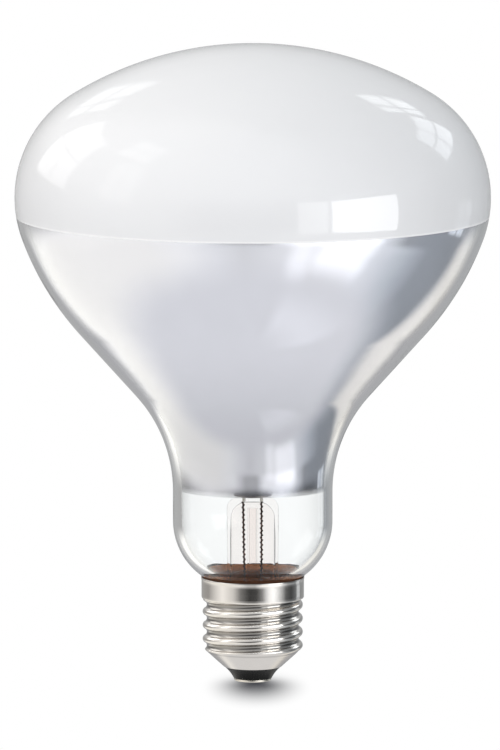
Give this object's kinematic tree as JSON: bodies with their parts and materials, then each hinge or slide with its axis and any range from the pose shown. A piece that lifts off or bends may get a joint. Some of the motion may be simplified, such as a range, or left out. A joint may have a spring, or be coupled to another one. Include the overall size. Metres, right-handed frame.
{
  "type": "infrared heat lamp bulb",
  "caption": "Reflector heat lamp: frosted domed glass face, mirrored cone, clear neck showing the stem mount, and a rolled metal screw cap with a black insulator and a centre contact.",
  "frame": {"origin": "centre of the flat on the solder under the centre contact, on the lamp's axis", "axes": "+Z along the lamp's axis towards the frosted face; the leads and the filament lie in the XZ plane, -Y is the front"},
  "size_m": [0.125, 0.125, 0.1687],
  "materials": {
    "bulb_glass": "clear glass at the neck, satin white frost inside the face",
    "mirror_film": "bright deposited aluminium",
    "stem_glass": "clear drawn glass",
    "dark_lead": "oxidised copper-clad wire, dark brown",
    "nickel_wire": "drawn nickel wire",
    "tungsten": "dull grey tungsten",
    "shield_sheet": "thin stamped sheet, heat-tinted grey-brown",
    "cement": "rough baked basing cement, orange-brown",
    "cap_metal": "bright nickel plate over rolled brass sheet",
    "black_glass": "glossy black moulded glass",
    "contact_metal": "tinned contact plate",
    "solder": "dull tin solder"
  },
  "bodies": {
    "root": {"glass_bulb": "bulb_glass", "reflector_film": "mirror_film", "stem_tube": "stem_glass", "exhaust_tube": "stem_glass", "arbor_rod": "stem_glass", "left_outer_lead": "dark_lead", "right_outer_lead": "dark_lead", "left_inner_lead": "nickel_wire", "right_inner_lead": "nickel_wire", "filament": "tungsten", "filament_supports": "tungsten", "heat_shield": "shield_sheet", "basing_cement": "cement", "cap_shell": "cap_metal", "cap_insulator": "black_glass", "centre_contact": "contact_metal", "contact_solder": "solder"}
  },
  "joints": []
}
